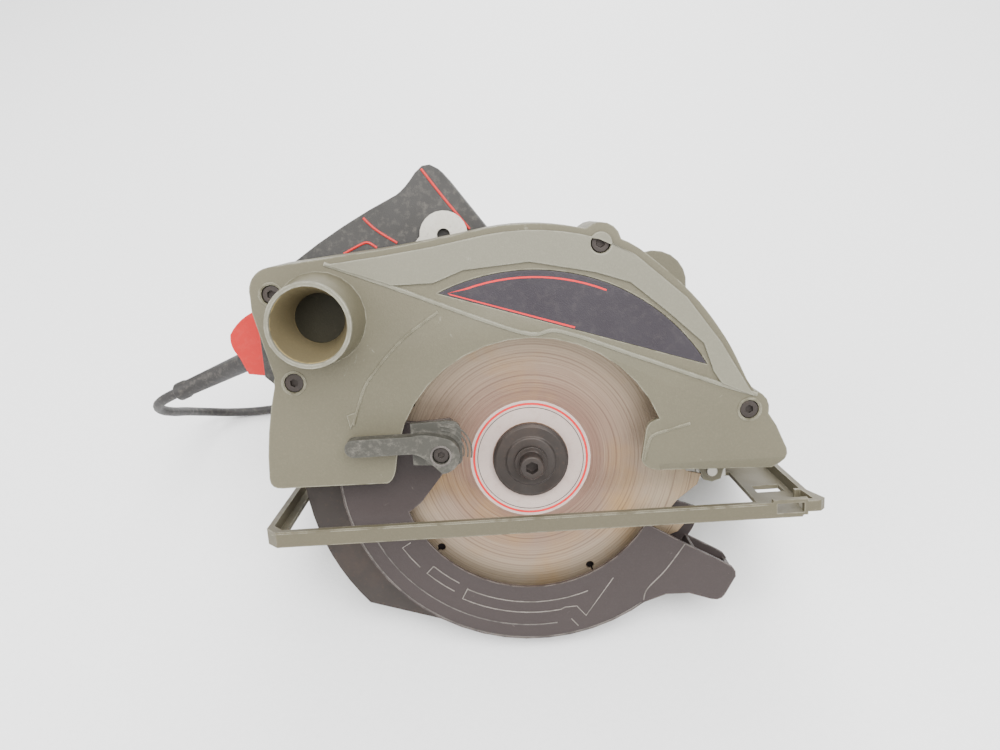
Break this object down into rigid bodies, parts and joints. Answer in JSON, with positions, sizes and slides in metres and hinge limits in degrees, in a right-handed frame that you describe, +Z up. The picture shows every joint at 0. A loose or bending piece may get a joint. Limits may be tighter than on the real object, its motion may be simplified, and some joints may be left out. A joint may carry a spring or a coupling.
{
  "type": "circular saw",
  "caption": "Hand-held corded circular saw with cast blade guard, swinging lower guard, tilting shoe, D-handle and coiled mains lead.",
  "frame": {"origin": "bottom centre of the saw's box as it lies on the floor, without the mains lead", "axes": "+Z up from the floor; +X the cutting direction, along the motor's cross line; +Y from the blade side to the motor side"},
  "size_m": [0.3863, 0.32, 0.2129],
  "materials": {
    "casting": "satin cast, painted grey",
    "dark_plastic": "moulded, fine grain",
    "grip_plastic": "moulded, soft grain",
    "red_plastic": "semi-gloss",
    "steel": "ground",
    "zinc": "zinc plated",
    "dark_steel": "blackened",
    "guard_metal": "dark painted casting, worn",
    "copper": "copper segments",
    "carbon": "pressed carbon",
    "rubber": "soft",
    "olive": "scuffed grey-olive paint",
    "label": "printed",
    "brass": "pressed"
  },
  "bodies": {
    "saw_body": {"upper_guard": "casting", "label_plate": "label", "inner_guard": "casting", "riving_knife": "dark_steel", "riving_knife_screw": "zinc", "guard_return_spring": "steel", "front_pivot_pin": "zinc", "spindle_bearing_front": "steel", "spindle_bearing_rear": "steel", "gear_housing": "casting", "motor_housing": "grip_plastic", "motor_end_cap": "grip_plastic", "stator": "dark_steel", "armature_bearing_front": "steel", "armature_bearing_rear": "steel", "brush_holder_front": "brass", "carbon_brush_front": "carbon", "brush_holder_rear": "brass", "carbon_brush_rear": "carbon", "handle_shell_right": "grip_plastic", "handle_shell_left": "grip_plastic", "switch_module": "dark_plastic", "rear_cap": "red_plastic", "strain_relief": "rubber", "front_handle": "grip_plastic", "mains_lead": "rubber", "lead_coil": "rubber", "lead_tail": "rubber", "plug": "rubber", "guard_screw_1": "dark_steel", "guard_screw_2": "dark_steel", "guard_screw_3": "dark_steel", "guard_screw_4": "dark_steel"},
    "spindle": {"saw_blade": "steel", "inner_flange": "dark_steel", "outer_flange": "dark_steel", "blade_bolt": "dark_steel", "spindle_shaft": "steel", "drive_gear": "steel"},
    "armature": {"armature_shaft": "steel", "armature_core": "dark_steel", "commutator": "copper", "cooling_fan": "dark_plastic"},
    "lower_guard_body": {"lower_guard": "guard_metal", "guard_lever": "guard_metal", "guard_lever_screw": "dark_steel"},
    "depth_frame": {"front_bevel_bracket": "zinc", "rear_bevel_bracket": "zinc", "depth_arc": "zinc"},
    "shoe_body": {"shoe": "olive", "front_bevel_quadrant": "zinc", "rear_bevel_quadrant": "zinc", "fence_bridge": "olive"},
    "depth_lock": {"depth_lock_lever": "dark_plastic"},
    "front_lock": {"front_bevel_lock": "dark_plastic"},
    "rear_lock": {"rear_bevel_lock": "dark_plastic"},
    "fence_screw": {"fence_lock_screw": "dark_plastic"},
    "trigger_body": {"trigger": "red_plastic"},
    "lock_off": {"lock_off_button": "red_plastic"},
    "spindle_lock": {"spindle_lock_button": "red_plastic"}
  },
  "joints": [
    {"name": "blade_spin", "type": "hinge", "parent": "saw_body", "child": "spindle", "pos_m": [0.03149, -0.04388, 0.0918], "axis": [0, 0.8321, -0.5547], "continuous": true},
    {"name": "armature_spin", "type": "hinge", "parent": "saw_body", "child": "armature", "pos_m": [0.02903, -0.02829, 0.11518], "axis": [0, 0.8321, -0.5547], "continuous": true},
    {"name": "lower_guard_swing", "type": "hinge", "parent": "saw_body", "child": "lower_guard_body", "pos_m": [0.03149, -0.04388, 0.0918], "axis": [0, 0.8321, -0.5547], "range_deg": [0, 130], "stiffness_Nm_per_rad": 0.2, "springref_deg": -85.94},
    {"name": "depth_swing", "type": "hinge", "parent": "saw_body", "child": "depth_frame", "pos_m": [0.13549, -0.03778, 0.0649], "axis": [0, -0.8321, 0.5547], "range_deg": [0, 29]},
    {"name": "bevel_tilt", "type": "hinge", "parent": "depth_frame", "child": "shoe_body", "pos_m": [0.03149, -0.0644, 0.08265], "axis": [-1, 0, 0], "range_deg": [0, 45]},
    {"name": "depth_lock_turn", "type": "hinge", "parent": "saw_body", "child": "depth_lock", "pos_m": [-0.06402, -0.01858, 0.09008], "axis": [0, 0.8321, -0.5547], "range_deg": [0, 30]},
    {"name": "front_bevel_lock_turn", "type": "hinge", "parent": "depth_frame", "child": "front_lock", "pos_m": [0.14949, -0.01861, 0.06256], "axis": [-1, 0, 0], "range_deg": [0, 50]},
    {"name": "rear_bevel_lock_turn", "type": "hinge", "parent": "depth_frame", "child": "rear_lock", "pos_m": [-0.09851, -0.01861, 0.06256], "axis": [-1, 0, 0], "range_deg": [0, 50]},
    {"name": "fence_screw_turn", "type": "hinge", "parent": "shoe_body", "child": "fence_screw", "pos_m": [0.16249, 0.00605, 0.04049], "axis": [0, 0.5547, 0.8321], "range_deg": [0, 270]},
    {"name": "trigger_pull", "type": "slide", "parent": "saw_body", "child": "trigger_body", "axis": [-0.441, 0.4978, 0.7468], "range_m": [0, 0.005], "stiffness_N_per_m": 600, "springref_m": -0.003},
    {"name": "lock_off_press", "type": "slide", "parent": "saw_body", "child": "lock_off", "axis": [0, -0.8321, 0.5547], "range_m": [0, 0.003], "stiffness_N_per_m": 500, "springref_m": -0.003},
    {"name": "spindle_lock_press", "type": "slide", "parent": "saw_body", "child": "spindle_lock", "axis": [0, -0.8321, 0.5547], "range_m": [0, 0.003], "stiffness_N_per_m": 500, "springref_m": -0.003}
  ],
  "couplings": [
    {"joint": "armature_spin", "follows": "blade_spin", "ratio": -4.2222}
  ]
}
